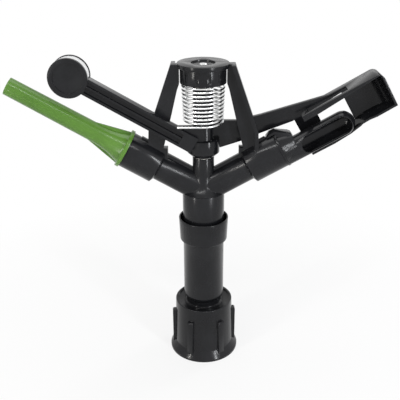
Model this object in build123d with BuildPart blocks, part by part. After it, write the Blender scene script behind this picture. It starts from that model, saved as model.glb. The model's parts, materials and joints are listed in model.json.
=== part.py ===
from build123d import *
from math import cos, pi, radians, sin
import os

os.makedirs("parts", exist_ok=True)

# A nylon impact sprinkler, in millimetres. Z is up, along the axis that the head turns about.
# The origin is the centre of the inlet nut's lower face. The range nozzle points to -X and up,
# the drive nozzle to +X and up, and the side with the weight's round face looks to -Y.

# Clearances
FIT = 0.05  # between pieces that are pressed or screwed together
RUNNING = 0.06  # radial, where one piece turns in another
END_PLAY = 0.1  # axial, between faces that slide on each other
SEAL_GAP = 0.05  # round the seals, as drawn before they are squeezed

# Inlet nut, with a 1 inch pipe thread drawn at its minor diameter
THREAD_R = 15.145
THREAD_DEPTH = 17.5
RELIEF_R = 16.1
GASKET_THICK = 2.0
GASKET_SLACK = 0.5
LEDGE_R = 11.5
LEDGE_THICK = 3.0
NUT_HEIGHT = 43.2
NUT_FOOT_R = 26.1
NUT_FOOT_EDGE = 1.6
NUT_FOOT_TOP = 7.0
NUT_LOW_R = 22.4
NUT_TOP_R = 21.5
NUT_RIM_R = 19.8
NUT_RIM_DEPTH = 1.5
RIB_COUNT = 6
RIB_FIRST = -55.8
RIB_LOW = 4.5
RIB_HIGH = 32.8
RIB_R = 24.3
RIB_WIDTH = 4.5
RIB_EDGE = 0.8

# Swivel tube and its thrust washers
TUBE_R = 10.0
TUBE_BORE_R = 7.8
FLANGE_R = 14.0
FLANGE_THICK = 3.0
FLANGE_LIFT = 1.0
WASHER_THICK = 1.0
WASHER_R = 13.6
TUBE_TOP = 124.0

# Bearing sleeve with its collar cup
PLUG_R = 14.6
NECK_R = 13.2
NECK_TOP = 46.0
SLEEVE_R = 14.95
SLEEVE_ROUND = 3.5
LAND_R = 10.4
LAND_LENGTH = 8.0
SLEEVE_BORE_R = 11.5
BUSH_LOW = 60.0
BUSH_LENGTH = 20.0
BUSH_R = 12.5
CUP_LOW = 95.0
CUP_FLOOR = 2.5
CUP_HIGH = 112.8
CUP_LOW_R = 17.3
CUP_HIGH_R = 18.05
CUP_WALL = 1.05
CUP_ROUND = 1.2

# Bearing spring
SEAT_THICK = 1.0
BEARING_WIRE_R = 0.6
BEARING_COIL_R = 11.3
BEARING_TURNS = 7

# Rotating body: skirt, bell and post
SKIRT_LOW = 99.0
SKIRT_R = 15.05
SKIRT_BORE_R = 13.3
SKIRT_TOP = 133.6
SEAM_SIZE = 0.4
BELL_TOP = 147.6
POST_R = 7.6
POST_TOP = 159.4
SOCKET_LOW = 117.0
RING_WIRE_R = 0.8
RING_LIFT = 2.4

# Barrels, which rise from one point on the Z axis
JET_Z = 133.7
JET_TILT = 30.0
BARREL_R = 9.7
BARREL_BORE_R = 7.6
MOUTH_R = 12.85
MOUTH_BORE_R = 11.2
MOUTH_IN = 36.3
MOUTH_STEP = 1.7
MOUTH_OUT = 62.3
MOUTH_BORE_IN = 44.0
BARREL_RIB_WIDTH = 3.0
BARREL_RIB_HIGH = 2.0
BARREL_RIB_IN = 8.0
MOUTH_RIB_IN = 51.0
MOUTH_RIB_OUT = 57.0
MOUTH_RIB_HIGH = 1.0

# Bridge: two legs and a cap. One leg is the other turned half round the Z axis.
LEG_FRONT = -2.5
LEG_BACK = 4.5
LEG_OUTER = [(21.7, 225.0), (33.0, 192.5), (37.7, 179.2), (38.5, 163.0)]
LEG_INNER = [(27.6, 160.0), (27.6, 166.9), (21.8, 190.1), (17.5, 208.2)]
LEG_RIB_FRONT = -8.0
LEG_RIB_WIDTH = 2.9
LEG_RIB_TOP = 224.2
FOOT_BLOCK = (24.8, 156.0, 28.4, 166.5)
CAP_LOW = 222.9
CAP_THICK = 2.9
CAP_R = 17.5
CAP_RECESS_R = 8.3
CAP_RECESS_DEPTH = 1.2
BOSS_R = 6.0
BOSS_LOW = 213.0

# Pivot pin and what it carries
PIN_R = 2.5
PIN_LOW = 150.0
PIN_STAND = 0.5
HUB_WASHER_R = 6.5
HUB_WASHER_THICK = 0.8
ARM_BUSH_R = 4.0
ARM_BUSH_LENGTH = 10.0
TOP_WASHER_R = 5.5
CLIP_R = 4.6
CLIP_THICK = 0.8
CLIP_GROOVE_R = 2.0

# Tension ring under the cap
RING_R = 15.7
RING_LOW = 212.5
RING_WALL = 1.3
RING_WEB = 2.2
RING_LEG_GAP = 0.4
LUG_COUNT = 12
LUG_WIDTH = 2.6
LUG_HIGH = 5.0
LUG_DEPTH = 0.7

# Return spring
COIL_R = 13.2
COIL_WIRE_R = 0.65
COIL_LOW = 184.7
COIL_HIGH = 211.7
COIL_TURNS = 9.5
TAIL_LENGTH = 18.0

# Impact arm: hub
HUB_LOW_R = 8.0
HUB_R = 11.3
HUB_TAPER = 3.2
HUB_RING_TOP = 173.0
HUB_SLEEVE_R = 7.0
HUB_TOP = 208.6
WEB_TOP = 184.0
WEB_OUT = 18.0
WEB_FRONT = -8.0

# Impact arm: ribbed bar to the weight, in front of its leg
BAR_FRONT = -12.0
BAR_BACK = -4.8
BAR_LOW = 23.6
BAR_HIGH = 34.9
BAR_IN = 24.0
BAR_LIP = 1.7
BAR_CHANNEL = 3.2
BAR_CHANNEL_IN = 34.0
BAR_RIDGE = 1.3
BAR_RIDGE_SINK = 1.0

# Impact arm: weight housing
WEIGHT_OUT = 118.8
WEIGHT_UP = 29.1
WEIGHT_R = 13.2
WEIGHT_FACE_R = 10.0
WEIGHT_FRONT = -14.0
WEIGHT_FACE_THICK = 2.6
WEIGHT_FACE_SINK = 0.9
WEIGHT_SOCKET = 7.0
SLUG_R = 12.4
COVER_R = 13.0
COVER_THICK = 1.2
SCREW_R = 2.0
SCREW_HEAD_R = 3.6
SCREW_HEAD_THICK = 1.6
SCREW_DEPTH = 7.5

# Impact arm: plate behind its leg, as (x, z) points
PLATE_FRONT = 4.9
PLATE_BACK = 8.6
PLATE_UPPER = [(23.4, 184.0), (39.5, 188.0), (87.4, 202.5)]
PLATE_LOWER = [(39.8, 174.9), (27.0, 169.3), (12.2, 164.4)]

# Impact arm: spoon. Distances run along the drive barrel, heights square to it.
SPOON_IN = 80.0
SPOON_OUT = 145.0
SPOON_FRONT = -8.2
SPOON_WALL_FRONT = 9.0
SPOON_BACK = 10.8
SPOON_WALL = 1.5
SHEET_POINTS = [(110.0, -15.2), (119.5, -10.2), (125.0, -9.4)]
SHEET_LOW = -15.6
BUCKET_LOW = -8.8
BUCKET_TOP = 16.6
BUCKET_TOP_ROUND = 5.0
BUCKET_LOW_ROUND = 3.0
BUCKET_IN = 117.0
TOP_WALL_IN = 86.0
TOP_WALL_LOW = 12.2
TOP_WALL_FULL = 121.0
TOP_BAR_BACK = -4.4
VANE_OUT = 96.0
VANE_TOP = 10.0
SHEET_FRONT = [(97.0, -0.5), (110.0, 1.5), (118.0, -5.0), (125.0, -6.5)]
SHEET_FRONT_IN = 0.2
SCOOP_R = 13.5

# Nozzles
SPIGOT_R = 11.05
SPIGOT_BORE_R = 8.0
NOZZLE_GAP = 0.1
NOZZLE_RING_OUT = 52.0
RANGE_FLANGE_R = 13.9
RANGE_FLANGE_OUT = 64.8
RANGE_FLARE_R = 11.5
RANGE_FLARE_OUT = 88.0
RANGE_NECK_R = 6.8
RANGE_TIP_R = 6.3
RANGE_TIP_OUT = 153.0
RANGE_TIP_BORE_R = 3.5
RANGE_FIN_R = 13.0
RANGE_FIN_THICK = 1.2
DRIVE_FLANGE_R = 13.3
DRIVE_FLANGE_OUT = 64.0
DRIVE_BASE_R = 11.5
DRIVE_NECK_R = 7.6
DRIVE_BASE_OUT = 74.2
DRIVE_BORE_R = 2.5
TUNNEL_R = 8.6
TUNNEL_WALL = 1.4
TUNNEL_DROP = -4.65
TUNNEL_END = 107.9
TUNNEL_SLOT_IN = 76.5
TUNNEL_SLOT_OUT = 113.4
TUNNEL_SLOT_HIGH = 13.4
TUNNEL_SLOT_DEPTH = -3.7
TUNNEL_EXIT_R = 3.0
HOOD_WIDTH = 8.6
HOOD_GAP = 0.15
HOOD_IN = 57.6
HOOD_POINTS = [(61.0, 14.7), (64.9, 14.4), (72.6, 9.1), (74.1, 7.4), (73.7, 4.0)]

# Stream straighteners in the barrels
STRAIGHTENER_IN = 17.0
STRAIGHTENER_OUT = 41.0
STRAIGHTENER_WALL = 0.8

RANGE = -1
DRIVE = 1


def tube(low, high, outer, inner=0.0, mode=Mode.ADD):
    """A round bar or tube about the Z axis, in the part that is being built."""
    with BuildSketch(Plane.XY.offset(low)) as section:
        Circle(outer)
        if inner > 0:
            Circle(inner, mode=Mode.SUBTRACT)
    extrude(section.sketch, amount=high - low, mode=mode)


def turned(*points, mode=Mode.ADD):
    """A solid turned about the Z axis from its outline of (radius, height) points."""
    with BuildSketch(Plane.XZ) as outline:
        with BuildLine():
            Polyline(*points, close=True)
        make_face()
    revolve(outline.sketch, axis=Axis.Z, mode=mode)


def upright(points, front, back, side=1, mode=Mode.ADD):
    """An outline of (x, z) points made solid from y = front to y = back. Side -1 turns it half
    round the Z axis."""
    plane = Plane(origin=(0, side * back, 0), x_dir=(side, 0, 0), z_dir=(0, -side, 0))
    with BuildSketch(plane) as outline:
        with BuildLine():
            Polyline(*points, close=True)
        make_face()
    extrude(outline.sketch, amount=back - front, mode=mode)


def jet_point(side, along, up):
    """The (x, z) of a place given along a barrel's axis and square to it."""
    tilt = radians(JET_TILT)
    return (
        side * (along * cos(tilt) - up * sin(tilt)),
        JET_Z + along * sin(tilt) + up * cos(tilt),
    )


def jet_plane(side, y=0.0, up=0.0):
    """The upright plane of a barrel: local x runs out along it, local y runs up, square to it."""
    x, z = jet_point(side, 0, up)
    tilt = radians(JET_TILT)
    return Plane(origin=(x, y, z), x_dir=(side * cos(tilt), 0, sin(tilt)), z_dir=(0, -side, 0))


def jet_deck(up):
    """The plane that lies along the drive barrel: local x runs out along it, local y to the back."""
    x, z = jet_point(DRIVE, 0, up)
    tilt = radians(JET_TILT)
    return Plane(origin=(x, 0, z), x_dir=(cos(tilt), 0, sin(tilt)), z_dir=(-sin(tilt), 0, cos(tilt)))


def jet_axis(side, up=0.0):
    """The line along a barrel, or one that runs beside it."""
    plane = jet_plane(side, 0, up)
    return Axis(plane.origin, plane.x_dir)


def jet_turned(side, *points, up=0.0, mode=Mode.ADD):
    """A solid turned about a barrel's axis from its outline of (distance, radius) points."""
    with BuildSketch(jet_plane(side, 0, up)) as outline:
        with BuildLine():
            Polyline(*points, close=True)
        make_face()
    revolve(outline.sketch, axis=jet_axis(side, up), mode=mode)


def jet_upright(side, points, front, back, mode=Mode.ADD):
    """An outline in a barrel's upright plane made solid from y = front to y = back."""
    start = back if side == DRIVE else front
    with BuildSketch(jet_plane(side, start)) as outline:
        with BuildLine():
            Polyline(*points, close=True)
        make_face()
    extrude(outline.sketch, amount=back - front, mode=mode)


def jet_deck_block(points, low, high, mode=Mode.ADD):
    """A plan outline of (distance, y) points made solid between two heights over the barrel."""
    with BuildSketch(jet_deck(low)) as outline:
        with BuildLine():
            Polyline(*points, close=True)
        make_face()
    extrude(outline.sketch, amount=high - low, mode=mode)


# Heights that follow from the sizes above
relief_top = THREAD_DEPTH + GASKET_THICK + GASKET_SLACK
ledge_top = relief_top + LEDGE_THICK
flange_low = ledge_top + FLANGE_LIFT
flange_high = flange_low + FLANGE_THICK
wear_high = flange_high + WASHER_THICK
sliding_low = wear_high + END_PLAY
sliding_high = sliding_low + WASHER_THICK
sleeve_low = sliding_high + WASHER_THICK
nut_floor = NUT_HEIGHT - NUT_RIM_DEPTH
bush_high = BUSH_LOW + BUSH_LENGTH
seat_high = bush_high + SEAT_THICK
hub_low = POST_TOP + HUB_WASHER_THICK + END_PLAY
cap_high = CAP_LOW + CAP_THICK
cap_floor = cap_high - CAP_RECESS_DEPTH
ring_high = CAP_LOW - END_PLAY
top_washer_low = HUB_TOP + END_PLAY
clip_low = top_washer_low + HUB_WASHER_THICK
groove_r = TUBE_R + SEAL_GAP + 2 * RING_WIRE_R + SEAL_GAP
disc_back = WEIGHT_FRONT + WEIGHT_FACE_THICK
slug_back = BAR_BACK + FIT
cover_back = slug_back + COVER_THICK

# Inlet nut
with BuildPart() as inlet_nut:
    turned(
        (0, 0),
        (NUT_FOOT_R, 0),
        (NUT_FOOT_R, NUT_FOOT_EDGE),
        (NUT_LOW_R, NUT_FOOT_TOP),
        (NUT_TOP_R, NUT_HEIGHT),
        (0, NUT_HEIGHT),
    )
    fillet(inlet_nut.edges().filter_by(GeomType.CIRCLE).group_by(Axis.Z)[-1], radius=0.5)
    for number in range(RIB_COUNT):
        turn = radians(RIB_FIRST + number * 360 / RIB_COUNT)
        rib_plane = Plane(origin=(0, 0, 0), x_dir=(cos(turn), sin(turn), 0), z_dir=(sin(turn), -cos(turn), 0))
        with BuildSketch(rib_plane):
            with BuildLine():
                Polyline(
                    (NUT_RIM_R, RIB_LOW),
                    (RIB_R, RIB_LOW),
                    (RIB_R, RIB_HIGH - RIB_EDGE),
                    (RIB_R - RIB_EDGE, RIB_HIGH),
                    (NUT_RIM_R, RIB_HIGH),
                    close=True,
                )
            make_face()
        extrude(amount=RIB_WIDTH / 2, both=True)
    tube(nut_floor, NUT_HEIGHT, NUT_RIM_R, mode=Mode.SUBTRACT)
    tube(0, THREAD_DEPTH, THREAD_R, mode=Mode.SUBTRACT)
    tube(THREAD_DEPTH, relief_top, RELIEF_R, mode=Mode.SUBTRACT)
    tube(relief_top, ledge_top, LEDGE_R, mode=Mode.SUBTRACT)
    tube(ledge_top, nut_floor, PLUG_R + FIT, mode=Mode.SUBTRACT)
inlet_nut.part.label = "inlet_nut"
export_step(inlet_nut.part, "parts/inlet_nut.step")

with BuildPart() as inlet_gasket:
    tube(relief_top - GASKET_THICK, relief_top, RELIEF_R - FIT, LEDGE_R)
inlet_gasket.part.label = "inlet_gasket"
export_step(inlet_gasket.part, "parts/inlet_gasket.step")

# Bearing sleeve: plug in the nut, neck, long tube and collar cup
with BuildPart() as bearing_sleeve:
    turned((0, sleeve_low), (PLUG_R, sleeve_low), (PLUG_R, nut_floor), (0, nut_floor))
    tube(nut_floor, NECK_TOP, NECK_R)
    with BuildSketch(Plane.XZ):
        with BuildLine():
            TangentArc((SLEEVE_R, NECK_TOP + SLEEVE_ROUND), (NECK_R, NECK_TOP), tangent=(0, -1))
            Polyline((NECK_R, NECK_TOP), (0, NECK_TOP), (0, CUP_LOW + CUP_FLOOR), (SLEEVE_R, CUP_LOW + CUP_FLOOR),
                     (SLEEVE_R, NECK_TOP + SLEEVE_ROUND))
        make_face()
    revolve(axis=Axis.Z)
    turned((0, CUP_LOW), (CUP_LOW_R, CUP_LOW), (CUP_HIGH_R, CUP_HIGH), (0, CUP_HIGH))
    fillet(bearing_sleeve.edges().filter_by_position(Axis.Z, CUP_LOW, CUP_LOW).sort_by(SortBy.RADIUS)[-1],
           radius=CUP_ROUND)
    cup_floor_high = CUP_LOW + CUP_FLOOR
    turned(
        (0, cup_floor_high),
        (CUP_LOW_R - CUP_WALL, cup_floor_high),
        (CUP_HIGH_R - CUP_WALL, CUP_HIGH),
        (0, CUP_HIGH),
        mode=Mode.SUBTRACT,
    )
    tube(sleeve_low, sleeve_low + LAND_LENGTH, LAND_R, mode=Mode.SUBTRACT)
    tube(sleeve_low + LAND_LENGTH, BUSH_LOW, SLEEVE_BORE_R, mode=Mode.SUBTRACT)
    tube(BUSH_LOW, cup_floor_high, BUSH_R, mode=Mode.SUBTRACT)
bearing_sleeve.part.label = "bearing_sleeve"
export_step(bearing_sleeve.part, "parts/bearing_sleeve.step")

with BuildPart() as sleeve_bush:
    tube(BUSH_LOW, bush_high, BUSH_R - FIT, TUBE_R + RUNNING)
sleeve_bush.part.label = "sleeve_bush"
export_step(sleeve_bush.part, "parts/sleeve_bush.step")

with BuildPart() as spring_seat_washer:
    tube(bush_high, seat_high, BUSH_R - FIT, TUBE_R + SEAL_GAP + END_PLAY)
spring_seat_washer.part.label = "spring_seat_washer"
export_step(spring_seat_washer.part, "parts/spring_seat_washer.step")

# Thrust washers between the swivel tube's flange and the sleeve
with BuildPart() as wear_washer:
    tube(flange_high, wear_high, WASHER_R, TUBE_R + FIT)
wear_washer.part.label = "wear_washer"
export_step(wear_washer.part, "parts/wear_washer.step")

with BuildPart() as sliding_washer:
    tube(sliding_low, sliding_high, WASHER_R, LAND_R)
sliding_washer.part.label = "sliding_washer"
export_step(sliding_washer.part, "parts/sliding_washer.step")

with BuildPart() as seal_washer:
    tube(sliding_high, sleeve_low, WASHER_R, LAND_R)
seal_washer.part.label = "seal_washer"
export_step(seal_washer.part, "parts/seal_washer.step")

# Bearing spring, which pushes the head up against the thrust washers
bearing_low = seat_high + BEARING_WIRE_R
bearing_rise = SOCKET_LOW - END_PLAY - BEARING_WIRE_R - bearing_low
with BuildPart() as bearing_spring:
    with BuildLine():
        Helix(bearing_rise / BEARING_TURNS, bearing_rise, BEARING_COIL_R, center=(0, 0, bearing_low))
    slope = bearing_rise / BEARING_TURNS / (2 * pi * BEARING_COIL_R)
    with BuildSketch(Plane(origin=(BEARING_COIL_R, 0, bearing_low), z_dir=(0, 1, slope))):
        Circle(BEARING_WIRE_R)
    sweep(is_frenet=True)
bearing_spring.part.label = "bearing_spring"
export_step(bearing_spring.part, "parts/bearing_spring.step")

# Swivel tube
with BuildPart() as swivel_tube:
    tube(flange_low, flange_high, FLANGE_R)
    tube(flange_high, TUBE_TOP, TUBE_R)
    chamfer(swivel_tube.edges().group_by(Axis.Z)[-1], length=0.6)
    tube(flange_low, TUBE_TOP, TUBE_BORE_R, mode=Mode.SUBTRACT)
swivel_tube.part.label = "swivel_tube"
export_step(swivel_tube.part, "parts/swivel_tube.step")

with BuildPart() as tube_o_ring:
    with Locations((0, 0, SOCKET_LOW + RING_LIFT)):
        Torus(TUBE_R + SEAL_GAP + RING_WIRE_R, RING_WIRE_R)
tube_o_ring.part.label = "tube_o_ring"
export_step(tube_o_ring.part, "parts/tube_o_ring.step")

# Body: skirt, bell, post, barrels with their mouths, and the bridge with its cap
rib_inner = [(x - LEG_RIB_WIDTH, z) for x, z in LEG_OUTER]
with BuildPart() as body:
    tube(SKIRT_LOW, SKIRT_TOP, SKIRT_R)
    with BuildSketch(Plane.XZ):
        with BuildLine():
            TangentArc((POST_R, BELL_TOP), (SKIRT_R, SKIRT_TOP), tangent=(0, -1))
            Polyline((SKIRT_R, SKIRT_TOP), (0, SKIRT_TOP), (0, POST_TOP), (POST_R, POST_TOP), (POST_R, BELL_TOP))
        make_face()
    revolve(axis=Axis.Z)
    turned(
        (SKIRT_R - SEAM_SIZE, SKIRT_TOP - SEAM_SIZE),
        (SKIRT_R + SEAM_SIZE, SKIRT_TOP - SEAM_SIZE),
        (SKIRT_R + SEAM_SIZE, SKIRT_TOP),
        (SKIRT_R - SEAM_SIZE, SKIRT_TOP),
        mode=Mode.SUBTRACT,
    )
    for side in (RANGE, DRIVE):
        jet_turned(
            side,
            (0, 0),
            (0, BARREL_R),
            (MOUTH_IN, BARREL_R),
            (MOUTH_IN + MOUTH_STEP, MOUTH_R),
            (MOUTH_OUT, MOUTH_R),
            (MOUTH_OUT, 0),
        )
        rib_half = BARREL_RIB_WIDTH / 2
        rib_low = BARREL_R - 1
        rib_high = BARREL_R + BARREL_RIB_HIGH
        jet_upright(
            side,
            [(BARREL_RIB_IN, rib_low), (MOUTH_IN, rib_low), (MOUTH_IN, rib_high), (BARREL_RIB_IN, rib_high)],
            -rib_half,
            rib_half,
        )
        ridge_high = MOUTH_R + MOUTH_RIB_HIGH
        jet_upright(
            side,
            [(MOUTH_RIB_IN, rib_high), (MOUTH_RIB_OUT, rib_high), (MOUTH_RIB_OUT, ridge_high),
             (MOUTH_RIB_IN, ridge_high)],
            -rib_half,
            rib_half,
        )
        ring_side = RING_R + RING_LEG_GAP
        leg_outline = LEG_OUTER + LEG_INNER + [(ring_side, RING_LOW - RING_LEG_GAP), (ring_side, LEG_OUTER[0][1])]
        upright(leg_outline, LEG_FRONT, LEG_BACK, side)
        rib_outline = LEG_OUTER + rib_inner[::-1]
        upright(rib_outline, LEG_RIB_FRONT, LEG_FRONT, side)
        x_low, z_low, x_high, z_high = FOOT_BLOCK
        upright([(x_low, z_low), (x_high, z_low), (x_high, z_high), (x_low, z_high)], LEG_FRONT, LEG_BACK, side)
    tube(CAP_LOW, cap_high, CAP_R)
    tube(BOSS_LOW, CAP_LOW, BOSS_R)
    tube(cap_floor, cap_high, CAP_RECESS_R, mode=Mode.SUBTRACT)
    tube(BOSS_LOW, cap_floor, PIN_R + FIT, mode=Mode.SUBTRACT)
    tube(PIN_LOW, POST_TOP, PIN_R + FIT, mode=Mode.SUBTRACT)
    tube(SKIRT_LOW, SOCKET_LOW, SKIRT_BORE_R, mode=Mode.SUBTRACT)
    tube(SOCKET_LOW, TUBE_TOP, TUBE_R + FIT, mode=Mode.SUBTRACT)
    ring_half = RING_WIRE_R + SEAL_GAP
    ring_z = SOCKET_LOW + RING_LIFT
    tube(ring_z - ring_half, ring_z + ring_half, groove_r, mode=Mode.SUBTRACT)
    tube(TUBE_TOP, JET_Z, TUBE_BORE_R, mode=Mode.SUBTRACT)
    for side in (RANGE, DRIVE):
        jet_turned(
            side,
            (0, 0),
            (0, BARREL_BORE_R),
            (MOUTH_BORE_IN, BARREL_BORE_R),
            (MOUTH_BORE_IN, MOUTH_BORE_R),
            (MOUTH_OUT, MOUTH_BORE_R),
            (MOUTH_OUT, 0),
            mode=Mode.SUBTRACT,
        )
body.part.label = "body"
export_step(body.part, "parts/body.step")

# Stream straighteners: a thin tube round four vanes, one in each barrel
for side, name in ((RANGE, "range_straightener"), (DRIVE, "drive_straightener")):
    straightener_r = BARREL_BORE_R - FIT
    vane_r = straightener_r - STRAIGHTENER_WALL / 2
    half = STRAIGHTENER_WALL / 2
    with BuildPart() as straightener:
        jet_turned(
            side,
            (STRAIGHTENER_IN, straightener_r - STRAIGHTENER_WALL),
            (STRAIGHTENER_OUT, straightener_r - STRAIGHTENER_WALL),
            (STRAIGHTENER_OUT, straightener_r),
            (STRAIGHTENER_IN, straightener_r),
        )
        for vane_high, vane_deep in ((vane_r, half), (half, vane_r)):
            jet_upright(
                side,
                [(STRAIGHTENER_IN, -vane_high), (STRAIGHTENER_OUT, -vane_high), (STRAIGHTENER_OUT, vane_high),
                 (STRAIGHTENER_IN, vane_high)],
                -vane_deep,
                vane_deep,
            )
    straightener.part.label = name
    export_step(straightener.part, f"parts/{name}.step")

# Seals in the grooves of the two nozzle spigots
nozzle_ring_r = MOUTH_BORE_R - SEAL_GAP - RING_WIRE_R
for side, name in ((RANGE, "range_nozzle_seal"), (DRIVE, "drive_nozzle_seal")):
    with BuildPart() as nozzle_seal:
        with BuildSketch(jet_plane(side)):
            with Locations((NOZZLE_RING_OUT, nozzle_ring_r)):
                Circle(RING_WIRE_R)
        revolve(axis=jet_axis(side))
    nozzle_seal.part.label = name
    export_step(nozzle_seal.part, f"parts/{name}.step")


def spigot(side):
    """The nozzle's end that plugs into a mouth, with its seal groove, in the part being built."""
    seal_half = RING_WIRE_R + SEAL_GAP
    seal_floor = nozzle_ring_r - RING_WIRE_R - SEAL_GAP
    spigot_in = MOUTH_BORE_IN + NOZZLE_GAP
    jet_turned(side, (spigot_in, 0), (spigot_in, SPIGOT_R), (RANGE_FLANGE_OUT, SPIGOT_R), (RANGE_FLANGE_OUT, 0))
    jet_turned(
        side,
        (NOZZLE_RING_OUT - seal_half, seal_floor),
        (NOZZLE_RING_OUT + seal_half, seal_floor),
        (NOZZLE_RING_OUT + seal_half, MOUTH_BORE_R),
        (NOZZLE_RING_OUT - seal_half, MOUTH_BORE_R),
        mode=Mode.SUBTRACT,
    )


# Range nozzle: flange, hollow flare with two fins, long tapered tube
flange_in = MOUTH_OUT + NOZZLE_GAP
with BuildPart() as range_nozzle:
    spigot(RANGE)
    with BuildSketch(jet_plane(RANGE)):
        with BuildLine():
            Polyline((RANGE_FLARE_OUT, RANGE_NECK_R), (RANGE_TIP_OUT, RANGE_TIP_R), (RANGE_TIP_OUT, 0), (flange_in, 0),
                     (flange_in, RANGE_FLANGE_R), (RANGE_FLANGE_OUT, RANGE_FLANGE_R),
                     (RANGE_FLANGE_OUT, RANGE_FLARE_R))
            TangentArc((RANGE_FLARE_OUT, RANGE_NECK_R), (RANGE_FLANGE_OUT, RANGE_FLARE_R), tangent=(-1, 0))
        make_face()
    revolve(axis=jet_axis(RANGE))
    for way in (1, -1):
        jet_upright(
            RANGE,
            [(RANGE_FLANGE_OUT - 1, 0), (RANGE_FLARE_OUT + 2, 0), (RANGE_FLARE_OUT + 2, way * RANGE_NECK_R),
             (RANGE_FLANGE_OUT - 1, way * RANGE_FIN_R)],
            -RANGE_FIN_THICK / 2,
            RANGE_FIN_THICK / 2,
        )
    jet_turned(
        RANGE,
        (MOUTH_BORE_IN, 0),
        (MOUTH_BORE_IN, SPIGOT_BORE_R),
        (RANGE_TIP_OUT, RANGE_TIP_BORE_R),
        (RANGE_TIP_OUT, 0),
        mode=Mode.SUBTRACT,
    )
range_nozzle.part.label = "range_nozzle"
export_step(range_nozzle.part, "parts/range_nozzle.step")

# Drive nozzle: flange and base, jet tunnel open to the front, and a hood over its foot
tunnel_bore = TUNNEL_R - TUNNEL_WALL
slot_half = TUNNEL_SLOT_HIGH / 2
hood_low = MOUTH_R + HOOD_GAP
with BuildPart() as drive_nozzle:
    spigot(DRIVE)
    jet_turned(
        DRIVE,
        (flange_in, 0),
        (flange_in, DRIVE_FLANGE_R),
        (DRIVE_FLANGE_OUT, DRIVE_FLANGE_R),
        (DRIVE_FLANGE_OUT, DRIVE_BASE_R),
        (DRIVE_BASE_OUT, DRIVE_NECK_R),
        (DRIVE_BASE_OUT, 0),
    )
    with BuildSketch(jet_plane(DRIVE, 0, TUNNEL_DROP)):
        with BuildLine():
            Polyline((TUNNEL_END + TUNNEL_R, 0), (DRIVE_FLANGE_OUT, 0), (DRIVE_FLANGE_OUT, TUNNEL_R),
                     (TUNNEL_END, TUNNEL_R))
            RadiusArc((TUNNEL_END, TUNNEL_R), (TUNNEL_END + TUNNEL_R, 0), TUNNEL_R)
        make_face()
    revolve(axis=jet_axis(DRIVE, TUNNEL_DROP))
    jet_upright(
        DRIVE,
        [(HOOD_IN, hood_low)] + HOOD_POINTS + [(DRIVE_FLANGE_OUT, 0), (DRIVE_FLANGE_OUT, hood_low)],
        -HOOD_WIDTH / 2,
        HOOD_WIDTH / 2,
    )
    with BuildSketch(jet_plane(DRIVE, 0, TUNNEL_DROP)):
        with BuildLine():
            Polyline((TUNNEL_END + tunnel_bore, 0), (DRIVE_BASE_OUT, 0), (DRIVE_BASE_OUT, tunnel_bore),
                     (TUNNEL_END, tunnel_bore))
            RadiusArc((TUNNEL_END, tunnel_bore), (TUNNEL_END + tunnel_bore, 0), tunnel_bore)
        make_face()
    revolve(axis=jet_axis(DRIVE, TUNNEL_DROP), mode=Mode.SUBTRACT)
    with BuildSketch(jet_plane(DRIVE, TUNNEL_SLOT_DEPTH, TUNNEL_DROP)):
        with Locations(((TUNNEL_SLOT_IN + TUNNEL_SLOT_OUT) / 2, 0)):
            SlotOverall(TUNNEL_SLOT_OUT - TUNNEL_SLOT_IN, TUNNEL_SLOT_HIGH)
    extrude(amount=TUNNEL_R, mode=Mode.SUBTRACT)
    jet_turned(
        DRIVE,
        (MOUTH_BORE_IN, 0),
        (MOUTH_BORE_IN, SPIGOT_BORE_R),
        (DRIVE_BASE_OUT, DRIVE_BORE_R),
        (DRIVE_BASE_OUT, 0),
        mode=Mode.SUBTRACT,
    )
    jet_turned(
        DRIVE,
        (TUNNEL_END, 0),
        (TUNNEL_END, TUNNEL_EXIT_R),
        (TUNNEL_END + TUNNEL_R, TUNNEL_EXIT_R),
        (TUNNEL_END + TUNNEL_R, 0),
        mode=Mode.SUBTRACT,
    )
drive_nozzle.part.label = "drive_nozzle"
export_step(drive_nozzle.part, "parts/drive_nozzle.step")

# Pivot pin, with a groove for its clip
pin_top = cap_floor + PIN_STAND
with BuildPart() as pivot_pin:
    tube(PIN_LOW, pin_top, PIN_R)
    chamfer(pivot_pin.edges().filter_by(GeomType.CIRCLE), length=0.4)
    tube(clip_low, clip_low + CLIP_THICK, PIN_R + 1, CLIP_GROOVE_R, mode=Mode.SUBTRACT)
pivot_pin.part.label = "pivot_pin"
export_step(pivot_pin.part, "parts/pivot_pin.step")

with BuildPart() as pin_clip:
    tube(clip_low + FIT, clip_low + CLIP_THICK - FIT, CLIP_R, CLIP_GROOVE_R + FIT)
    with Locations((0, CLIP_R, clip_low + CLIP_THICK / 2)):
        Box(2 * CLIP_GROOVE_R, 2 * CLIP_R, CLIP_THICK, mode=Mode.SUBTRACT)
pin_clip.part.label = "pin_clip"
export_step(pin_clip.part, "parts/pin_clip.step")

with BuildPart() as hub_washer:
    tube(POST_TOP, POST_TOP + HUB_WASHER_THICK, HUB_WASHER_R, PIN_R + FIT)
hub_washer.part.label = "hub_washer"
export_step(hub_washer.part, "parts/hub_washer.step")

with BuildPart() as top_washer:
    tube(top_washer_low, clip_low, TOP_WASHER_R, PIN_R + FIT)
top_washer.part.label = "top_washer"
export_step(top_washer.part, "parts/top_washer.step")

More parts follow.
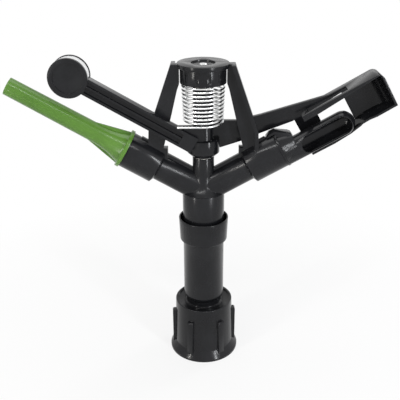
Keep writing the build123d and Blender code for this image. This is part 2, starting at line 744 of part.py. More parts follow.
# Tension ring, which turns on the cap's boss and holds the spring's upper end
with BuildPart() as tension_ring:
    tube(RING_LOW, ring_high, RING_R, RING_R - RING_WALL)
    tube(ring_high - RING_WEB, ring_high, RING_R, BOSS_R + RUNNING)
    for number in range(LUG_COUNT):
        turn = radians((number + 0.5) * 360 / LUG_COUNT)
        lug_plane = Plane(origin=(0, 0, (RING_LOW + ring_high) / 2), x_dir=(-sin(turn), cos(turn), 0),
                          z_dir=(cos(turn), sin(turn), 0))
        with BuildSketch(lug_plane.offset(RING_R - LUG_DEPTH)):
            Rectangle(LUG_WIDTH, LUG_HIGH)
        extrude(amount=2 * LUG_DEPTH, mode=Mode.SUBTRACT)
tension_ring.part.label = "tension_ring"
export_step(tension_ring.part, "parts/tension_ring.step")

# Return spring: coils that climb round the arm's sleeve from a straight tail on the bar
coil_low = COIL_LOW + COIL_WIRE_R
coil_rise = COIL_HIGH - COIL_WIRE_R - coil_low
coil_pitch = coil_rise / COIL_TURNS
coil_slope = coil_pitch / (2 * pi * COIL_R)
with BuildPart() as coil:
    with BuildLine():
        Helix(coil_pitch, coil_rise, COIL_R, center=(0, 0, coil_low))
    with BuildSketch(Plane(origin=(COIL_R, 0, coil_low), z_dir=(0, 1, coil_slope))):
        Circle(COIL_WIRE_R)
    sweep(is_frenet=True)
    with BuildSketch(Plane(origin=(COIL_R, 0, coil_low), z_dir=(0, 1, coil_slope))):
        Circle(COIL_WIRE_R)
    extrude(amount=-TAIL_LENGTH)
with BuildPart() as return_spring:
    add(coil.part, rotation=(0, 0, -90))
return_spring.part.label = "return_spring"
export_step(return_spring.part, "parts/return_spring.step")

# Impact arm: hub and sleeve, ribbed bar with the weight's face, plate and spoon
bar_out = WEIGHT_OUT - SLUG_R + WEIGHT_SOCKET
plate_end = jet_point(DRIVE, 112, TOP_WALL_LOW)
plate_corner = jet_point(DRIVE, SPOON_IN - 1.5, TOP_WALL_LOW)
spoon_inner_out = SPOON_OUT - SPOON_WALL
with BuildPart() as impact_arm:
    turned(
        (0, hub_low),
        (HUB_LOW_R, hub_low),
        (HUB_R, hub_low + HUB_TAPER),
        (HUB_R, HUB_RING_TOP),
        (HUB_SLEEVE_R, HUB_RING_TOP),
        (HUB_SLEEVE_R, HUB_TOP),
        (0, HUB_TOP),
    )
    # Bar with its channel and middle ridge
    jet_upright(RANGE, [(BAR_IN, BAR_LOW), (bar_out, BAR_LOW), (bar_out, BAR_HIGH), (BAR_IN, BAR_HIGH)],
                BAR_FRONT, BAR_BACK)
    channel_out = WEIGHT_OUT - WEIGHT_R
    jet_upright(
        RANGE,
        [(BAR_CHANNEL_IN, BAR_LOW + BAR_LIP), (channel_out, BAR_LOW + BAR_LIP), (channel_out, BAR_HIGH - BAR_LIP),
         (BAR_CHANNEL_IN, BAR_HIGH - BAR_LIP)],
        BAR_FRONT,
        BAR_FRONT + BAR_CHANNEL,
        mode=Mode.SUBTRACT,
    )
    bar_middle = (BAR_LOW + BAR_HIGH) / 2
    jet_upright(
        RANGE,
        [(BAR_CHANNEL_IN, bar_middle - BAR_RIDGE / 2), (channel_out, bar_middle - BAR_RIDGE / 2),
         (channel_out, bar_middle + BAR_RIDGE / 2), (BAR_CHANNEL_IN, bar_middle + BAR_RIDGE / 2)],
        BAR_FRONT + BAR_RIDGE_SINK,
        BAR_FRONT + BAR_CHANNEL,
    )
    # Web between the bar and the sleeve
    upright([(0, HUB_RING_TOP - 2), (0, WEB_TOP), (-WEB_OUT, WEB_TOP), (-WEB_OUT, HUB_RING_TOP + 3),
             (-HUB_R, HUB_RING_TOP - 2)], WEB_FRONT, BAR_BACK)
    # Round face of the weight housing
    with BuildSketch(jet_plane(RANGE, WEIGHT_FRONT)):
        with Locations((WEIGHT_OUT, WEIGHT_UP)):
            Circle(WEIGHT_R)
    extrude(amount=WEIGHT_FACE_THICK)
    with BuildSketch(jet_plane(RANGE, WEIGHT_FRONT)):
        with Locations((WEIGHT_OUT, WEIGHT_UP)):
            Circle(WEIGHT_FACE_R)
    extrude(amount=WEIGHT_FACE_SINK, mode=Mode.SUBTRACT)
    # Plate behind the leg
    upright([(0, WEB_TOP)] + PLATE_UPPER + [plate_end, plate_corner] + PLATE_LOWER + [(0, PLATE_LOWER[-1][1])],
            PLATE_FRONT, PLATE_BACK)
    # Spoon: back wall with its window, then the band of sheet, end wall and top wall
    outline = [(SPOON_IN, SHEET_LOW)] + SHEET_POINTS + [(SPOON_OUT, BUCKET_LOW), (SPOON_OUT, BUCKET_TOP),
                                                        (SPOON_IN, TOP_WALL_LOW + 3.8)]
    sheet_inner = [(along, up + SPOON_WALL) for along, up in SHEET_POINTS]
    hollow = [(SPOON_IN, SHEET_LOW + SPOON_WALL)] + sheet_inner + [
        (spoon_inner_out, BUCKET_LOW + SPOON_WALL),
        (spoon_inner_out, BUCKET_TOP - 1.0),
        (VANE_OUT, TOP_WALL_LOW),
        (SPOON_IN, TOP_WALL_LOW),
    ]
    with BuildSketch(jet_plane(DRIVE, SPOON_BACK)) as spoon_outline:
        with BuildLine():
            Polyline(*outline, close=True)
        make_face()
        ends = spoon_outline.vertices().group_by(Axis.X)[-1]
        fillet(ends.sort_by(Axis.Y)[-1], radius=BUCKET_TOP_ROUND)
        fillet(ends.sort_by(Axis.Y)[0], radius=BUCKET_LOW_ROUND)
    extrude(amount=SPOON_BACK - SPOON_FRONT)
    jet_upright(DRIVE, hollow, SPOON_FRONT, SPOON_WALL_FRONT, mode=Mode.SUBTRACT)
    # Rounded scoop between the back wall and the end wall
    scoop_in = spoon_inner_out - SCOOP_R
    with BuildSketch(jet_deck(BUCKET_LOW + SPOON_WALL / 2)):
        with BuildLine():
            Polyline((scoop_in, SPOON_WALL_FRONT), (spoon_inner_out, SPOON_WALL_FRONT),
                     (spoon_inner_out, SPOON_WALL_FRONT - SCOOP_R))
            RadiusArc((scoop_in, SPOON_WALL_FRONT), (spoon_inner_out, SPOON_WALL_FRONT - SCOOP_R), SCOOP_R)
        make_face()
    extrude(amount=BUCKET_TOP - 1.0 - BUCKET_LOW - SPOON_WALL / 2)
    # Window in the back wall between the vane and the bucket
    window_high = TOP_WALL_LOW
    window = [(VANE_OUT, SHEET_LOW + SPOON_WALL), (SHEET_POINTS[0][0], SHEET_POINTS[0][1] + SPOON_WALL),
              (BUCKET_IN, SHEET_POINTS[1][1] + 0.3), (BUCKET_IN, window_high), (VANE_OUT, window_high)]
    jet_upright(DRIVE, window, SPOON_WALL_FRONT - 1, SPOON_BACK, mode=Mode.SUBTRACT)
    # The sheet stands back under the jet, and the top wall is a bar on either side of a slot
    jet_deck_block(
        [(SPOON_IN, SPOON_FRONT), (SPOON_IN, SHEET_FRONT_IN)] + SHEET_FRONT
        + [(SHEET_FRONT[-1][0] + 5, SPOON_FRONT)],
        SHEET_LOW,
        BUCKET_LOW + SPOON_WALL,
        mode=Mode.SUBTRACT,
    )
    slot_low = TOP_WALL_LOW - 1
    slot_high = BUCKET_TOP + 1
    jet_deck_block(
        [(SPOON_IN, SPOON_FRONT), (TOP_WALL_IN, SPOON_FRONT), (TOP_WALL_IN + 1.5, PLATE_FRONT),
         (SPOON_IN, PLATE_FRONT)],
        slot_low,
        slot_high,
        mode=Mode.SUBTRACT,
    )
    jet_deck_block(
        [(TOP_WALL_IN + 4, TOP_BAR_BACK), (TOP_WALL_FULL, TOP_BAR_BACK), (TOP_WALL_FULL, PLATE_FRONT),
         (TOP_WALL_IN + 5.5, PLATE_FRONT)],
        slot_low,
        slot_high,
        mode=Mode.SUBTRACT,
    )
    # Bore for the two bushes, narrower between them
    tube(hub_low, HUB_TOP, PIN_R + 1, mode=Mode.SUBTRACT)
    tube(hub_low, hub_low + ARM_BUSH_LENGTH, ARM_BUSH_R + FIT, mode=Mode.SUBTRACT)
    tube(HUB_TOP - ARM_BUSH_LENGTH, HUB_TOP, ARM_BUSH_R + FIT, mode=Mode.SUBTRACT)
    # Screw hole behind the weight's face
    with BuildSketch(jet_plane(RANGE, slug_back - SCREW_DEPTH + COVER_THICK)):
        with Locations((WEIGHT_OUT, WEIGHT_UP)):
            Circle(SCREW_R + FIT)
    extrude(amount=SCREW_DEPTH, mode=Mode.SUBTRACT)
impact_arm.part.label = "impact_arm"
export_step(impact_arm.part, "parts/impact_arm.step")

# Bushes in the arm's hub
for low, name in ((hub_low, "lower_arm_bush"), (HUB_TOP - ARM_BUSH_LENGTH, "upper_arm_bush")):
    with BuildPart() as arm_bush:
        tube(low, low + ARM_BUSH_LENGTH, ARM_BUSH_R, PIN_R + RUNNING)
    arm_bush.part.label = name
    export_step(arm_bush.part, f"parts/{name}.step")

# Steel weight, slotted over the end of the bar
with BuildPart() as weight_slug:
    with BuildSketch(jet_plane(RANGE, disc_back)):
        with Locations((WEIGHT_OUT, WEIGHT_UP)):
            Circle(SLUG_R)
            Circle(SCREW_R + FIT, mode=Mode.SUBTRACT)
    extrude(amount=slug_back - disc_back)
    jet_upright(
        RANGE,
        [(bar_out - WEIGHT_SOCKET - 1, BAR_LOW - FIT), (bar_out + FIT, BAR_LOW - FIT),
         (bar_out + FIT, BAR_HIGH + FIT), (bar_out - WEIGHT_SOCKET - 1, BAR_HIGH + FIT)],
        disc_back,
        slug_back,
        mode=Mode.SUBTRACT,
    )
weight_slug.part.label = "weight_slug"
export_step(weight_slug.part, "parts/weight_slug.step")

with BuildPart() as weight_cover:
    with BuildSketch(jet_plane(RANGE, slug_back)):
        with Locations((WEIGHT_OUT, WEIGHT_UP)):
            Circle(COVER_R)
            Circle(SCREW_R + FIT, mode=Mode.SUBTRACT)
    extrude(amount=COVER_THICK)
weight_cover.part.label = "weight_cover"
export_step(weight_cover.part, "parts/weight_cover.step")

with BuildPart() as weight_screw:
    with BuildSketch(jet_plane(RANGE, cover_back - SCREW_DEPTH)):
        with Locations((WEIGHT_OUT, WEIGHT_UP)):
            Circle(SCREW_R)
    extrude(amount=SCREW_DEPTH)
    with BuildSketch(jet_plane(RANGE, cover_back)):
        with Locations((WEIGHT_OUT, WEIGHT_UP)):
            Circle(SCREW_HEAD_R)
    extrude(amount=SCREW_HEAD_THICK)
weight_screw.part.label = "weight_screw"
export_step(weight_screw.part, "parts/weight_screw.step")
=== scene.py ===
import json
from math import cos, pi, radians, sin

import bmesh
import bpy
from mathutils import Matrix, Vector


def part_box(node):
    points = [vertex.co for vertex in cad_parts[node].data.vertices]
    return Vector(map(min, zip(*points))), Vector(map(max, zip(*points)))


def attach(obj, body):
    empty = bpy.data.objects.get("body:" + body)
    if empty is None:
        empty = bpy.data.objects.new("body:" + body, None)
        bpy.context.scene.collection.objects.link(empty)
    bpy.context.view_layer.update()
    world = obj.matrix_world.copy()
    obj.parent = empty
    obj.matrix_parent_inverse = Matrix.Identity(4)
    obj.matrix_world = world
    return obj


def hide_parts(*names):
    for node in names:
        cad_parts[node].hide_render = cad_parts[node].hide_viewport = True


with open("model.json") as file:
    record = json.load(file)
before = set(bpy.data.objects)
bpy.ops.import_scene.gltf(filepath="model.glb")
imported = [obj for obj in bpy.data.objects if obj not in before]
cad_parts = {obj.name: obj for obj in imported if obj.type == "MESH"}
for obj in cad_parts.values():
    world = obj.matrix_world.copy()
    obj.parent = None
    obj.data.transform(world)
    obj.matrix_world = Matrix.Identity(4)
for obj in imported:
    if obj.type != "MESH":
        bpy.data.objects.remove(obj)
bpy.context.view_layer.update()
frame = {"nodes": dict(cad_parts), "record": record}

slot_of = {row["node"]: row["material_slot"] for row in frame["record"]["subparts"]}
body_of = {node: body for body, nodes in frame["record"]["behaviour"]["bodies"].items() for node in nodes}

# Sizes are in millimetres and angles in degrees, unless a line says otherwise
MM = 0.001

# Both barrels rise from one point on the Z axis. The range side is the one with the green nozzle.
JET_Z = 133.7
JET_TILT = radians(30)
RANGE_SIDE = -1

# Moulded pieces, each with the round of its edges
EDGE_ROUNDS = {
    "inlet_nut": 0.5,
    "bearing_sleeve": 0.4,
    "body": 0.35,
    "impact_arm": 0.35,
    "drive_nozzle": 0.3,
    "range_nozzle": 0.25,
    "tension_ring": 0.3,
}
EDGE_ANGLE = 32
EDGE_SEGMENTS = 2
SAME_PLACE = 0.002
SAME_SURFACE_ANGLE = 0.6
SHARP_ANGLE = 40

# Return spring: it widens upwards, from its tail on the arm to the hook held by the tension ring
SPRING_WIRE_RADIUS = 0.72
SPRING_LOW, SPRING_HIGH = 184.8, 211.3
SPRING_LOW_RADIUS, SPRING_HIGH_RADIUS = 13.5, 14.3
SPRING_TURNS = 10
SPRING_STEPS = 48
SPRING_TAIL = 17.5
SPRING_HOOK = 7
WIRE_SIDES = 14
WIRE_SHARP_ANGLE = 50

# Weight: a steel disc behind the arm's round face, and a black cover behind the disc
WEIGHT_ALONG, WEIGHT_UP = 118.8, 29.1
DISC_RADIUS, DISC_BACK = 12.6, -2.0
COVER_RADIUS, COVER_BACK = 13.1, -0.8
DISC_EDGE = 0.3
DISC_SIDES = 96

# Inlet thread: a one inch pipe thread, cut into the nut's plain bore
THREAD_RADIUS = 15.2
THREAD_PITCH = 2.309
THREAD_DEPTH = 0.95
THREAD_TURNS = 7
THREAD_STEPS = 64
THREAD_CUTTER_SIDES = 4

# Camera, at the photograph's viewing angle
EYE = (2.99, -427.9, 319.4)
CAMERA_TURN = radians(0.74)
CAMERA_PITCH = radians(24.37)
CAMERA_ROLL = radians(-0.3)
FOCAL_PIXELS = 646.0
FRAME_PIXELS = 400.0
SENSOR_WIDTH = 36.0

# Stage and lamps, in metres and watts
STAGE_RADIUS = 0.75
STAGE_SIDES = 96
SHADOW_START, SHADOW_END = 0.02, 0.3
WHITE_UNDER_OBJECT = 0.78
FLOOR_SHADE = (0.9, 0.9, 0.9, 1)
BACKDROP_ON_OBJECT = 0.15
LAMP_TARGET = (0, 0, 0.13)
COOL, WARM, NEUTRAL = (0.95, 0.97, 1.0), (1.0, 0.98, 0.94), (1, 1, 1)
LAMPS = [
    dict(name="key", place=(0.52, -0.6, 0.36), width=0.06, height=0.7, watts=4.8, colour=COOL),
    dict(name="left_strip", place=(-0.6, -0.54, 0.34), width=0.04, height=0.6, watts=3.2, colour=WARM),
    dict(name="high_strip", place=(-0.15, -0.45, 0.85), width=0.7, height=0.06, watts=2.2, colour=NEUTRAL),
    dict(name="top", place=(0.0, 0.25, 0.95), width=0.5, height=0.5, watts=1.7, colour=NEUTRAL),
    dict(name="back", place=(0.7, 0.6, 0.5), width=0.2, height=0.8, watts=2.6, colour=NEUTRAL),
]


def mm(*values):
    """A place given in millimetres, in metres."""
    return Vector(values) * MM


def jet_place(side, along, up, y=0.0):
    """A place along a barrel, square above its axis and across it, in metres."""
    return mm(
        side * (along * cos(JET_TILT) - up * sin(JET_TILT)),
        y,
        JET_Z + along * sin(JET_TILT) + up * cos(JET_TILT),
    )


# Materials. The scales of noise are in waves per metre, the depths of bumps in metres.


class Finish:
    """A material in the making: its nodes are added one by one and joined to the shader."""

    def __init__(self, name):
        self.material = bpy.data.materials.new(name)
        self.material.use_nodes = True
        self.nodes = self.material.node_tree.nodes
        self.links = self.material.node_tree.links
        self.shader = self.nodes["Principled BSDF"]
        self.coords = self.nodes.new("ShaderNodeTexCoord").outputs["Object"]

    def noise(self, scale, detail=4.0, roughness=0.55, stretch=None):
        """Noise that stays with the object, stretched where the finish was drawn or turned."""
        made = self.nodes.new("ShaderNodeTexNoise")
        made.inputs["Scale"].default_value = scale
        made.inputs["Detail"].default_value = detail
        made.inputs["Roughness"].default_value = roughness
        source = self.coords
        if stretch:
            mapping = self.nodes.new("ShaderNodeMapping")
            mapping.inputs["Scale"].default_value = stretch
            self.links.new(source, mapping.inputs["Vector"])
            source = mapping.outputs["Vector"]
        self.links.new(source, made.inputs["Vector"])
        return made.outputs["Fac"]

    def ramp(self, value, low, high, low_at=0.35, high_at=0.65):
        """A value that climbs from low to high while the given one goes from low_at to high_at."""
        made = self.nodes.new("ShaderNodeMapRange")
        made.inputs["From Min"].default_value = low_at
        made.inputs["From Max"].default_value = high_at
        made.inputs["To Min"].default_value = low
        made.inputs["To Max"].default_value = high
        self.links.new(value, made.inputs["Value"])
        return made.outputs["Result"]

    def mix(self, value, colour_a, colour_b):
        """A colour between two others."""
        made = self.nodes.new("ShaderNodeMix")
        made.data_type = "RGBA"
        made.inputs["A"].default_value = (*colour_a, 1)
        made.inputs["B"].default_value = (*colour_b, 1)
        self.links.new(value, made.inputs["Factor"])
        return made.outputs["Result"]

    def bump(self, value, strength, distance, under=None):
        """Small relief in the surface, on top of the relief under it."""
        made = self.nodes.new("ShaderNodeBump")
        made.inputs["Strength"].default_value = strength
        made.inputs["Distance"].default_value = distance
        self.links.new(value, made.inputs["Height"])
        if under:
            self.links.new(under, made.inputs["Normal"])
        self.links.new(made.outputs["Normal"], self.shader.inputs["Normal"])
        return made.outputs["Normal"]

    def colour(self, output):
        """Joins a colour to the shader."""
        self.links.new(output, self.shader.inputs["Base Color"])

    def roughness(self, output):
        """Joins a roughness to the shader."""
        self.links.new(output, self.shader.inputs["Roughness"])


def black_nylon():
    """Moulded black nylon: faint flow marks in its sheen, a fine skin and pale dust in patches."""
    made = Finish("black_nylon")
    clean, dusty = (0.0065, 0.0067, 0.0078), (0.013, 0.0134, 0.0152)
    dust = made.ramp(made.noise(38, detail=6, roughness=0.6), 0, 1, low_at=0.42, high_at=0.74)
    made.colour(made.mix(dust, clean, dusty))
    sheen = made.noise(70, detail=5, roughness=0.6, stretch=(1, 1, 0.35))
    made.roughness(made.ramp(sheen, 0.15, 0.26))
    skin = made.bump(made.noise(1500, detail=2, roughness=0.5), strength=0.1, distance=0.00012)
    made.bump(made.noise(45, detail=2, roughness=0.4), strength=0.12, distance=0.0008, under=skin)
    made.shader.inputs["Specular IOR Level"].default_value = 0.24
    return made.material


def green_nylon():
    """Moulded green nylon, deeper in colour in patches, with a fine skin."""
    made = Finish("green_nylon")
    deep, light = (0.07, 0.165, 0.022), (0.095, 0.21, 0.032)
    depth = made.ramp(made.noise(24, detail=4, roughness=0.5), 0, 1, low_at=0.35, high_at=0.68)
    made.colour(made.mix(depth, deep, light))
    made.roughness(made.ramp(made.noise(80, detail=4, roughness=0.6), 0.18, 0.28))
    made.shader.inputs["Specular IOR Level"].default_value = 0.3
    made.bump(made.noise(900, detail=2, roughness=0.5), strength=0.08, distance=0.0001)
    made.shader.inputs["Subsurface Weight"].default_value = 0.05
    made.shader.inputs["Subsurface Radius"].default_value = (0.001, 0.002, 0.0005)
    return made.material


def bright_wire():
    """Drawn stainless wire and pins: bright, with fine scratches and a little roughness."""
    made = Finish("bright_wire")
    grey, bright = (0.66, 0.67, 0.68), (0.86, 0.86, 0.85)
    made.shader.inputs["Metallic"].default_value = 1.0
    tone = made.ramp(made.noise(160, detail=3, roughness=0.5), 0, 1, low_at=0.3, high_at=0.7)
    made.colour(made.mix(tone, grey, bright))
    made.roughness(made.ramp(made.noise(420, detail=4, roughness=0.6), 0.14, 0.3))
    scratches = made.noise(2400, detail=2, roughness=0.5, stretch=(1, 1, 6))
    made.bump(scratches, strength=0.06, distance=0.0001)
    return made.material


def plated_steel():
    """The plated weight: pale, faintly spangled."""
    made = Finish("plated_steel")
    pale, grey = (0.9, 0.9, 0.89), (0.72, 0.73, 0.75)
    made.shader.inputs["Metallic"].default_value = 1.0
    spangle = made.nodes.new("ShaderNodeTexVoronoi")
    spangle.inputs["Scale"].default_value = 420
    made.links.new(made.coords, spangle.inputs["Vector"])
    made.colour(made.mix(spangle.outputs["Distance"], pale, grey))
    made.roughness(made.ramp(made.noise(300, detail=4, roughness=0.6), 0.22, 0.38))
    made.bump(made.noise(1200, detail=2, roughness=0.5), strength=0.08, distance=0.0001)
    return made.material


def white_acetal():
    """Turned white acetal of the bushes and washers, with faint tool rings."""
    made = Finish("white_acetal")
    cream, white = (0.72, 0.71, 0.67), (0.8, 0.79, 0.76)
    made.colour(made.mix(made.noise(60, detail=3, roughness=0.5), cream, white))
    made.roughness(made.ramp(made.noise(200, detail=3, roughness=0.5), 0.3, 0.45))
    rings = made.noise(1500, detail=2, roughness=0.5, stretch=(1, 1, 12))
    made.bump(rings, strength=0.1, distance=0.0001)
    return made.material


def seal_rubber():
    """Black seal rubber, dull, with a fine grain."""
    made = Finish("seal_rubber")
    black, worn = (0.012, 0.012, 0.012), (0.03, 0.03, 0.031)
    made.colour(made.mix(made.noise(120, detail=4, roughness=0.6), black, worn))
    made.roughness(made.ramp(made.noise(300, detail=4, roughness=0.6), 0.6, 0.8))
    made.bump(made.noise(1300, detail=3, roughness=0.6), strength=0.2, distance=0.00015)
    return made.material


finishes = {
    "black_nylon": black_nylon(),
    "green_nylon": green_nylon(),
    "stainless": bright_wire(),
    "plated_steel": plated_steel(),
    "white_acetal": white_acetal(),
    "seal_rubber": seal_rubber(),
}


def give_finish(mesh, slot):
    """Gives a mesh one finish all over."""
    mesh.materials.clear()
    mesh.materials.append(finishes[slot])


# Work that the pieces share


def add_object(name, data):
    """Puts a mesh, a lamp or the camera into the scene."""
    thing = bpy.data.objects.new(name, data)
    bpy.context.scene.collection.objects.link(thing)
    return thing


def finished_mesh(piece):
    """Makes what the piece's modifiers give its plain mesh, and removes the modifiers."""
    graph = bpy.context.evaluated_depsgraph_get()
    made = bpy.data.meshes.new_from_object(piece.evaluated_get(graph))
    piece.modifiers.clear()
    piece.data = made
    return made


def smooth_by_angle(mesh, angle):
    """Shades a mesh smooth, apart from edges sharper than the angle in degrees."""
    mesh.shade_smooth()
    mesh.set_sharp_from_angle(angle=radians(angle))


def stand_for(piece, node):
    """Makes a piece stand for a node of the frame: puts it on the node's body and hides the node."""
    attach(piece, body_of[node])
    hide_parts(node)


def moulding(node):
    """A copy of a moulded piece with its edges rounded, which stands for that piece."""
    mesh = frame["nodes"][node].data.copy()
    shape = bmesh.new()
    shape.from_mesh(mesh)
    bmesh.ops.remove_doubles(shape, verts=shape.verts, dist=SAME_PLACE * MM)
    bmesh.ops.dissolve_limit(shape, angle_limit=radians(SAME_SURFACE_ANGLE), verts=shape.verts,
                             edges=shape.edges, delimit={"NORMAL"})
    shape.to_mesh(mesh)
    shape.free()
    piece = add_object(node + "_moulding", mesh)
    edge = piece.modifiers.new("edges", "BEVEL")
    edge.width = EDGE_ROUNDS[node] * MM
    edge.segments = EDGE_SEGMENTS
    edge.limit_method = "ANGLE"
    edge.angle_limit = radians(EDGE_ANGLE)
    edge.use_clamp_overlap = True
    made = finished_mesh(piece)
    give_finish(made, slot_of[node])
    smooth_by_angle(made, SHARP_ANGLE)
    stand_for(piece, node)
    return piece


# Wires and grooves that follow a path


def bar_tree():
    """Geometry nodes that draw a round or many-sided bar along the edges of a mesh."""
    tree = bpy.data.node_groups.new("bar_along_a_path", "GeometryNodeTree")
    sockets = tree.interface
    sockets.new_socket("Geometry", in_out="INPUT", socket_type="NodeSocketGeometry")
    sockets.new_socket("Bar radius", in_out="INPUT", socket_type="NodeSocketFloat")
    sockets.new_socket("Bar sides", in_out="INPUT", socket_type="NodeSocketInt")
    sockets.new_socket("Finish", in_out="INPUT", socket_type="NodeSocketMaterial")
    sockets.new_socket("Geometry", in_out="OUTPUT", socket_type="NodeSocketGeometry")
    start = tree.nodes.new("NodeGroupInput")
    end = tree.nodes.new("NodeGroupOutput")
    path = tree.nodes.new("GeometryNodeMeshToCurve")
    circle = tree.nodes.new("GeometryNodeCurvePrimitiveCircle")
    bar = tree.nodes.new("GeometryNodeCurveToMesh")
    bar.inputs["Fill Caps"].default_value = True
    realize = tree.nodes.new("GeometryNodeRealizeInstances")
    finish = tree.nodes.new("GeometryNodeSetMaterial")
    link = tree.links.new
    link(start.outputs["Geometry"], path.inputs["Mesh"])
    link(start.outputs["Bar radius"], circle.inputs["Radius"])
    link(start.outputs["Bar sides"], circle.inputs["Resolution"])
    link(path.outputs["Curve"], bar.inputs["Curve"])
    link(circle.outputs["Curve"], bar.inputs["Profile Curve"])
    link(bar.outputs["Mesh"], realize.inputs["Geometry"])
    link(realize.outputs["Geometry"], finish.inputs["Geometry"])
    link(start.outputs["Finish"], finish.inputs["Material"])
    link(finish.outputs["Geometry"], end.inputs["Geometry"])
    return tree


BAR_TREE = bar_tree()
BAR_INPUTS = {row.name: row.identifier for row in BAR_TREE.interface.items_tree if row.in_out == "INPUT"}


def bar_along(name, points, radius, slot, sides=WIRE_SIDES):
    """A bar along points in millimetres, as a plain mesh that stands where the points are."""
    path = bpy.data.meshes.new(name)
    path.from_pydata([mm(*point) for point in points], [(i, i + 1) for i in range(len(points) - 1)], [])
    piece = add_object(name, path)
    bar = piece.modifiers.new("bar", "NODES")
    bar.node_group = BAR_TREE
    bar[BAR_INPUTS["Bar radius"]] = radius * MM
    bar[BAR_INPUTS["Bar sides"]] = sides
    bar[BAR_INPUTS["Finish"]] = finishes[slot]
    made = finished_mesh(piece)
    shape = bmesh.new()
    shape.from_mesh(made)
    bmesh.ops.recalc_face_normals(shape, faces=shape.faces)
    shape.to_mesh(made)
    shape.free()
    smooth_by_angle(made, WIRE_SHARP_ANGLE)
    return piece


def coil(low, high, low_radius, high_radius, turns, steps):
    """Places along a coil that starts at the front and turns to the right as it climbs."""
    count = round(turns * steps)
    for i in range(count + 1):
        share = i / count
        angle = -pi / 2 + 2 * pi * turns * share
        radius = low_radius + (high_radius - low_radius) * share
        yield (radius * cos(angle), radius * sin(angle), low + (high - low) * share)


def add_return_spring():
    """The coil that brings the arm back, with its straight tail and its short upper hook."""
    tail = [(step - SPRING_TAIL, -SPRING_LOW_RADIUS, SPRING_LOW) for step in range(round(SPRING_TAIL))]
    hook = [(step, -SPRING_HIGH_RADIUS, SPRING_HIGH) for step in range(1, SPRING_HOOK + 1)]
    turns = list(coil(SPRING_LOW, SPRING_HIGH, SPRING_LOW_RADIUS, SPRING_HIGH_RADIUS, SPRING_TURNS,
                      SPRING_STEPS))
    piece = bar_along("return_spring_wire", tail + turns + hook, SPRING_WIRE_RADIUS, "stainless")
    stand_for(piece, "return_spring")


def cut_thread(nut):
    """Cuts the turns of the inlet thread out of the nut, from its lower face inwards."""
    low = -THREAD_PITCH / 2
    high = low + THREAD_PITCH * THREAD_TURNS
    turns = list(coil(low, high, THREAD_RADIUS, THREAD_RADIUS, THREAD_TURNS, THREAD_STEPS))
    cutter = bar_along("thread_cutter", turns, THREAD_DEPTH, "black_nylon", sides=THREAD_CUTTER_SIDES)
    cut = nut.modifiers.new("thread", "BOOLEAN")
    cut.operation = "DIFFERENCE"
    cut.solver = "EXACT"
    cut.object = cutter
    made = finished_mesh(nut)
    give_finish(made, "black_nylon")
    smooth_by_angle(made, SHARP_ANGLE)
    bpy.data.objects.remove(cutter)


# Weight


def disc(name, node, front, back, radius):
    """A disc behind the arm's round face, with softened edges, which stands for a node."""
    outline = [
        (front, radius - DISC_EDGE),
        (front + DISC_EDGE, radius),
        (back - DISC_EDGE, radius),
        (back, radius - DISC_EDGE),
    ]
    turns = [2 * pi * i / DISC_SIDES for i in range(DISC_SIDES)]
    shape = bmesh.new()
    rings = []
    for y, ring_radius in outline:
        centre = jet_place(RANGE_SIDE, WEIGHT_ALONG, WEIGHT_UP, y)
        rings.append([
            shape.verts.new(centre + mm(ring_radius * cos(turn), 0, ring_radius * sin(turn)))
            for turn in turns
        ])
    for ring, after in zip(rings, rings[1:]):
        for i in range(DISC_SIDES):
            j = (i + 1) % DISC_SIDES
            shape.faces.new((ring[i], ring[j], after[j], after[i]))
    shape.faces.new(rings[0])
    shape.faces.new(rings[-1])
    bmesh.ops.recalc_face_normals(shape, faces=shape.faces)
    mesh = bpy.data.meshes.new(name)
    shape.to_mesh(mesh)
    shape.free()
    give_finish(mesh, slot_of[node])
    smooth_by_angle(mesh, SHARP_ANGLE)
    stand_for(add_object(name, mesh), node)


def add_weight():
    """The steel disc and its cover. The screw's head stands on the cover."""
    disc_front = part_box("weight_slug")[0][1] / MM
    disc("weight_disc", "weight_slug", disc_front, DISC_BACK, DISC_RADIUS)
    disc("weight_back_cover", "weight_cover", DISC_BACK, COVER_BACK, COVER_RADIUS)
    screw = frame["nodes"]["weight_screw"].data.copy()
    further_back = COVER_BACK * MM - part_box("weight_cover")[1][1]
    screw.transform(Matrix.Translation((0, further_back, 0)))
    stand_for(add_object("weight_screw_head", screw), "weight_screw")


# Camera, stage and lamps


def add_camera():
    """Puts the camera where the photograph was taken from."""
    camera = bpy.data.cameras.new("camera")
    camera.sensor_width = SENSOR_WIDTH
    camera.lens = FOCAL_PIXELS / FRAME_PIXELS * SENSOR_WIDTH
    thing = add_object("camera", camera)
    bpy.context.scene.camera = thing
    ahead = Vector((
        -sin(CAMERA_TURN) * cos(CAMERA_PITCH),
        cos(CAMERA_TURN) * cos(CAMERA_PITCH),
        -sin(CAMERA_PITCH),
    ))
    right = Vector((cos(CAMERA_TURN), sin(CAMERA_TURN), 0))
    up = right.cross(ahead)
    rolled = Matrix.Rotation(CAMERA_ROLL, 3, -ahead)
    rotation = Matrix((rolled @ right, rolled @ up, -ahead)).transposed()
    thing.matrix_world = Matrix.Translation(mm(*EYE)) @ rotation.to_4x4()


def seen_directly(nodes, links):
    """One for rays that come from the camera, a mirror-like surface or clear glass, else zero."""
    rays = nodes.new("ShaderNodeLightPath")
    total = rays.outputs["Is Camera Ray"]
    for name in ("Is Glossy Ray", "Is Transmission Ray"):
        largest = nodes.new("ShaderNodeMath")
        largest.operation = "MAXIMUM"
        links.new(total, largest.inputs[0])
        links.new(rays.outputs[name], largest.inputs[1])
        total = largest.outputs["Value"]
    return total


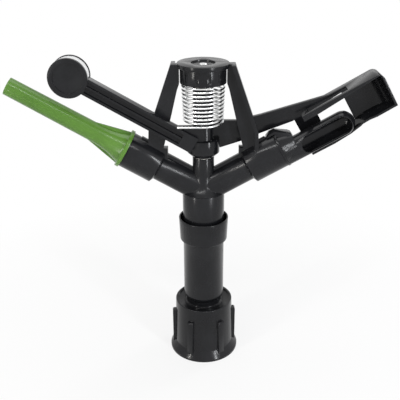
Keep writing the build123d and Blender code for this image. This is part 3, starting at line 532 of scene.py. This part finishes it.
def floor_finish():
    """A pale floor that keeps the object's shadow near its foot and turns plain white further out."""
    made = Finish("floor")
    nodes, links = made.nodes, made.links
    made.shader.inputs["Base Color"].default_value = FLOOR_SHADE
    made.shader.inputs["Roughness"].default_value = 0.9
    made.shader.inputs["Specular IOR Level"].default_value = 0.0
    distance = nodes.new("ShaderNodeVectorMath")
    distance.operation = "LENGTH"
    links.new(made.coords, distance.inputs[0])
    white = made.ramp(distance.outputs["Value"], WHITE_UNDER_OBJECT, 1.0, SHADOW_START, SHADOW_END)
    amount = nodes.new("ShaderNodeMath")
    amount.operation = "MULTIPLY"
    links.new(seen_directly(nodes, links), amount.inputs[0])
    links.new(white, amount.inputs[1])
    glow = nodes.new("ShaderNodeEmission")
    blend = nodes.new("ShaderNodeMixShader")
    links.new(amount.outputs["Value"], blend.inputs["Fac"])
    links.new(made.shader.outputs["BSDF"], blend.inputs[1])
    links.new(glow.outputs["Emission"], blend.inputs[2])
    links.new(blend.outputs["Shader"], nodes["Material Output"].inputs["Surface"])
    return made.material


def add_floor():
    """A round floor under the object."""
    outline = bmesh.new()
    bmesh.ops.create_circle(outline, cap_ends=True, radius=STAGE_RADIUS, segments=STAGE_SIDES)
    mesh = bpy.data.meshes.new("floor")
    outline.to_mesh(mesh)
    outline.free()
    mesh.materials.append(floor_finish())
    add_object("floor", mesh)


def add_backdrop():
    """A white world, which lights the object less than it shows."""
    world = bpy.data.worlds.new("studio")
    bpy.context.scene.world = world
    world.use_nodes = True
    nodes, links = world.node_tree.nodes, world.node_tree.links
    background = nodes["Background"]
    background.inputs["Color"].default_value = (1, 1, 1, 1)
    strength = nodes.new("ShaderNodeMapRange")
    strength.inputs["To Min"].default_value = BACKDROP_ON_OBJECT
    strength.inputs["To Max"].default_value = 1.0
    links.new(seen_directly(nodes, links), strength.inputs["Value"])
    links.new(strength.outputs["Result"], background.inputs["Strength"])


def add_lamp(name, place, width, height, watts, colour):
    """A soft rectangular lamp that points at the object's middle."""
    lamp = bpy.data.lights.new(name, "AREA")
    lamp.shape = "RECTANGLE"
    lamp.size = width
    lamp.size_y = height
    lamp.energy = watts
    lamp.color = colour
    thing = add_object(name, lamp)
    thing.location = place
    thing.rotation_euler = (Vector(LAMP_TARGET) - Vector(place)).to_track_quat("-Z", "Y").to_euler()


# The scene
for node, thing in frame["nodes"].items():
    give_finish(thing.data, slot_of[node])
add_camera()
add_floor()
add_backdrop()
for lamp in LAMPS:
    add_lamp(**lamp)
mouldings = {node: moulding(node) for node in EDGE_ROUNDS}
add_return_spring()
add_weight()
cut_thread(mouldings["inlet_nut"])

bpy.context.scene.view_settings.view_transform = "Standard"
